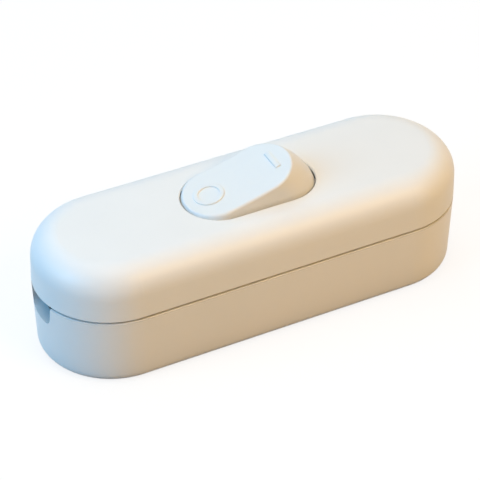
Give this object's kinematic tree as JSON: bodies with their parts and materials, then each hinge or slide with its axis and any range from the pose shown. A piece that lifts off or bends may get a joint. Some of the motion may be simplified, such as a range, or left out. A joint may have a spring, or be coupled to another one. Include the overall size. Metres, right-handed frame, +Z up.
{
  "type": "inline cord switch",
  "caption": "Slim rounded inline cord switch: a white two-shell housing with a tilting rocker on top, a cord inlet in each end, and a two-pole see-saw contact set inside.",
  "frame": {"origin": "middle of the housing's underside", "axes": "+X along the cord towards the supply end, +Y across the housing, +Z up towards the rocker"},
  "size_m": [0.073, 0.025, 0.0256],
  "materials": {
    "housing_plastic": "satin moulded",
    "rocker_plastic": "satin moulded",
    "inner_plastic": "natural nylon",
    "plated_steel": "zinc plated",
    "spring_steel": "drawn wire",
    "brass": "stamped",
    "copper_alloy": "stamped",
    "contact_silver": "silver faced"
  },
  "bodies": {
    "housing": {"upper_shell": "housing_plastic", "lower_shell": "housing_plastic", "terminal_screws": "plated_steel", "supply_cord_clamp": "inner_plastic", "load_cord_clamp": "inner_plastic", "cord_clamp_screws": "plated_steel", "housing_screws": "plated_steel", "line_pivot_strip": "brass", "line_fixed_strip": "brass", "line_fixed_tip": "contact_silver", "line_supply_block": "brass", "line_load_block": "brass", "neutral_pivot_strip": "brass", "neutral_fixed_strip": "brass", "neutral_fixed_tip": "contact_silver", "neutral_supply_block": "brass", "neutral_load_block": "brass"},
    "rocker": {"rocker": "rocker_plastic", "line_plunger_spring": "spring_steel", "neutral_plunger_spring": "spring_steel"},
    "line_plunger": {"line_plunger": "inner_plastic"},
    "line_contact": {"line_contact_arm": "copper_alloy", "line_moving_tip": "contact_silver"},
    "neutral_plunger": {"neutral_plunger": "inner_plastic"},
    "neutral_contact": {"neutral_contact_arm": "copper_alloy", "neutral_moving_tip": "contact_silver"}
  },
  "joints": [
    {"name": "rocker_tilt", "type": "hinge", "parent": "housing", "child": "rocker", "pos_m": [0, 0, 0.0157], "axis": [0, 1, 0], "range_deg": [0, 29.4]},
    {"name": "line_plunger_slide", "type": "slide", "parent": "rocker", "child": "line_plunger", "axis": [-0.2538, 0, 0.9673], "range_m": [0, 0.0008], "stiffness_N_per_m": 300, "deforming": ["line_plunger_spring"]},
    {"name": "line_contact_tilt", "type": "hinge", "parent": "housing", "child": "line_contact", "pos_m": [0, -0.0032, 0.0082], "axis": [0, 1, 0], "range_deg": [-16, 0]},
    {"name": "neutral_plunger_slide", "type": "slide", "parent": "rocker", "child": "neutral_plunger", "axis": [-0.2538, 0, 0.9673], "range_m": [0, 0.0008], "stiffness_N_per_m": 300, "deforming": ["neutral_plunger_spring"]},
    {"name": "neutral_contact_tilt", "type": "hinge", "parent": "housing", "child": "neutral_contact", "pos_m": [0, 0.0032, 0.0082], "axis": [0, 1, 0], "range_deg": [-16, 0]}
  ],
  "couplings": [
    {"joint": "line_contact_tilt", "follows": "rocker_tilt", "ratio": -0.5442},
    {"joint": "neutral_contact_tilt", "follows": "rocker_tilt", "ratio": -0.5442}
  ]
}
